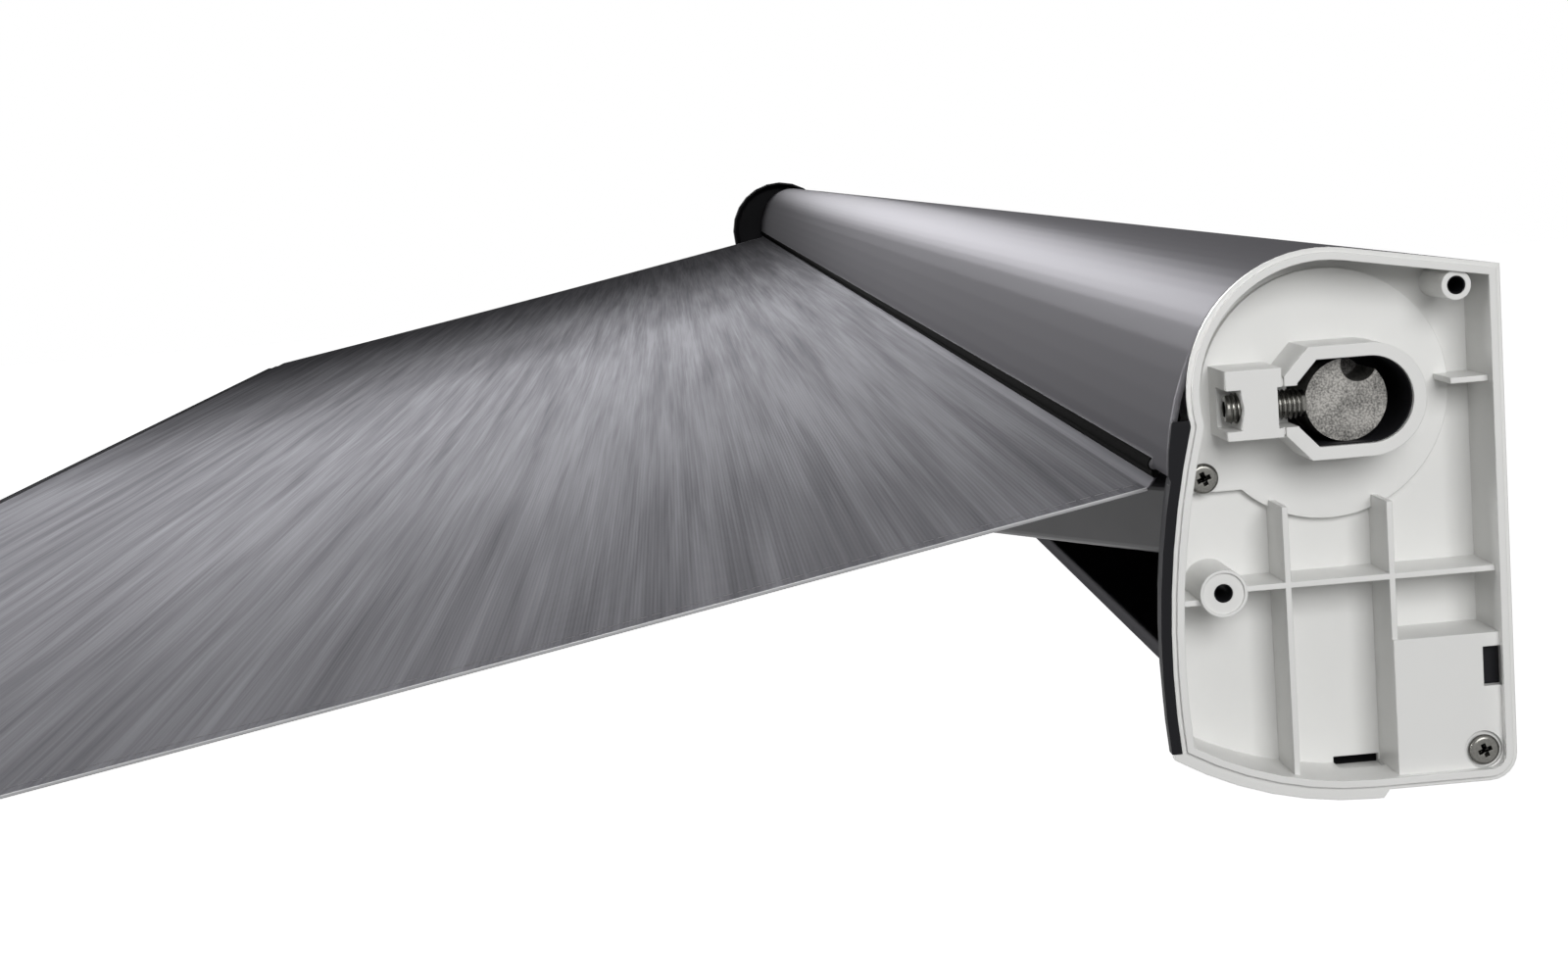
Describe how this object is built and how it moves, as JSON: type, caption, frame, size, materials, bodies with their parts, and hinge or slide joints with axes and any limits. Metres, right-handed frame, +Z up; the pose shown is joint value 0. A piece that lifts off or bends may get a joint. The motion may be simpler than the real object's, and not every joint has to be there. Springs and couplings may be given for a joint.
{
  "type": "roll out awning",
  "caption": "Wall-mounted cassette awning with folding arms, cloth on a geared roller, and a lead rail that stows telescopic support legs; the near end cover is off.",
  "frame": {"origin": "midway between the middle wall bracket's two bolts, on the wall plane", "axes": "+X along the case towards the open end shown in the picture, -Y out from the wall, +Z up"},
  "size_m": [3.2373, 0.9491, 0.3203],
  "materials": {
    "case_paint": "satin powder coat",
    "white_moulding": "moulded, slightly glossy",
    "dark_moulding": "fine grain",
    "seal_rubber": "matt",
    "cloth": "woven acrylic",
    "zinc_cast": "sandy cast",
    "screw_steel": "zinc plated",
    "dark_screw": "blackened",
    "raw_aluminium": "mill finish",
    "arm_paint": "satin powder coat",
    "wheel_brass": "machined"
  },
  "bodies": {
    "case": {"case_shell": "case_paint", "lip_seal": "seal_rubber", "right_end_frame": "white_moulding", "left_end_frame": "white_moulding", "right_side_seal": "dark_moulding", "left_side_seal": "dark_moulding", "left_end_cover": "dark_moulding", "roller_shaft": "zinc_cast", "clamp_screw": "screw_steel", "end_screws": "screw_steel", "cover_screws": "dark_screw", "left_wall_bracket": "case_paint", "middle_wall_bracket": "case_paint", "right_wall_bracket": "case_paint", "bracket_screws": "screw_steel", "right_shoulder_bracket": "arm_paint", "left_shoulder_bracket": "arm_paint", "right_shoulder_pin": "screw_steel", "left_shoulder_pin": "screw_steel", "awning_cloth": "cloth"},
    "roller": {"roller_tube": "raw_aluminium", "cloth_roll": "cloth", "right_roller_plug": "dark_moulding", "left_roller_plug": "dark_moulding", "worm_wheel": "wheel_brass"},
    "crank": {"worm_shaft": "screw_steel", "crank_eye": "screw_steel"},
    "right_arm": {"right_upper_arm": "arm_paint", "right_elbow_fork": "arm_paint", "right_elbow_pin": "screw_steel"},
    "right_fore": {"right_forearm": "arm_paint", "right_forearm_tip": "arm_paint"},
    "left_arm": {"left_upper_arm": "arm_paint", "left_elbow_fork": "arm_paint", "left_elbow_pin": "screw_steel"},
    "left_fore": {"left_forearm": "arm_paint", "left_forearm_tip": "arm_paint"},
    "rail": {"lead_rail": "case_paint", "right_rail_cap": "dark_moulding", "left_rail_cap": "dark_moulding", "right_arm_bracket": "arm_paint", "left_arm_bracket": "arm_paint", "right_rail_pin": "screw_steel", "left_rail_pin": "screw_steel", "right_leg_bracket": "screw_steel", "left_leg_bracket": "screw_steel"},
    "right_leg": {"right_leg_tube": "raw_aluminium", "right_leg_lock": "dark_moulding"},
    "right_leg_end": {"right_leg_inner": "raw_aluminium", "right_leg_foot": "dark_moulding"},
    "left_leg": {"left_leg_tube": "raw_aluminium", "left_leg_lock": "dark_moulding"},
    "left_leg_end": {"left_leg_inner": "raw_aluminium", "left_leg_foot": "dark_moulding"}
  },
  "joints": [
    {"name": "right_shoulder", "type": "hinge", "parent": "case", "child": "right_arm", "pos_m": [1.42, -0.03, 0.094], "axis": [0, -0.1754, 0.9845], "range_deg": [-19.8, 0], "deforming": ["awning_cloth"]},
    {"name": "right_elbow", "type": "hinge", "parent": "right_arm", "child": "right_fore", "pos_m": [0.24915, -0.46121, 0.01719], "axis": [0, -0.1754, 0.9845], "range_deg": [0, 39.6]},
    {"name": "rail_pivot", "type": "hinge", "parent": "right_fore", "child": "rail", "pos_m": [1.42, -0.89243, -0.05962], "axis": [0, -0.1754, 0.9845], "range_deg": [-19.8, 0]},
    {"name": "left_shoulder", "type": "hinge", "parent": "case", "child": "left_arm", "pos_m": [-1.42, -0.03, 0.094], "axis": [0, -0.1754, 0.9845], "range_deg": [0, 19.8]},
    {"name": "left_elbow", "type": "hinge", "parent": "left_arm", "child": "left_fore", "pos_m": [-0.24915, -0.46121, 0.01719], "axis": [0, -0.1754, 0.9845], "range_deg": [-39.6, 0]},
    {"name": "roller_turn", "type": "hinge", "parent": "case", "child": "roller", "pos_m": [0, -0.0553, 0.1612], "axis": [1, 0, 0], "range_deg": [-1538, 0]},
    {"name": "crank_turn", "type": "hinge", "parent": "case", "child": "crank", "pos_m": [-1.596, -0.0938, 0.032], "axis": [0, 0, 1], "range_deg": [-30760, 0]},
    {"name": "right_leg_swing", "type": "hinge", "parent": "rail", "child": "right_leg", "pos_m": [1.5, -0.93335, -0.05819], "axis": [0, -1, 0], "range_deg": [0, 90]},
    {"name": "right_leg_slide", "type": "slide", "parent": "right_leg", "child": "right_leg_end", "axis": [-1, 0, 0], "range_m": [0, 0.75]},
    {"name": "left_leg_swing", "type": "hinge", "parent": "rail", "child": "left_leg", "pos_m": [-1.5, -0.93335, -0.08368], "axis": [0, 1, 0], "range_deg": [0, 90]},
    {"name": "left_leg_slide", "type": "slide", "parent": "left_leg", "child": "left_leg_end", "axis": [1, 0, 0], "range_m": [0, 0.75]}
  ],
  "couplings": [
    {"joint": "right_elbow", "follows": "right_shoulder", "ratio": -2},
    {"joint": "rail_pivot", "follows": "right_shoulder", "ratio": 1},
    {"joint": "left_shoulder", "follows": "right_shoulder", "ratio": -1},
    {"joint": "left_elbow", "follows": "right_shoulder", "ratio": 2},
    {"joint": "roller_turn", "follows": "right_shoulder", "ratio": 77.627},
    {"joint": "crank_turn", "follows": "right_shoulder", "ratio": 1552.5}
  ]
}
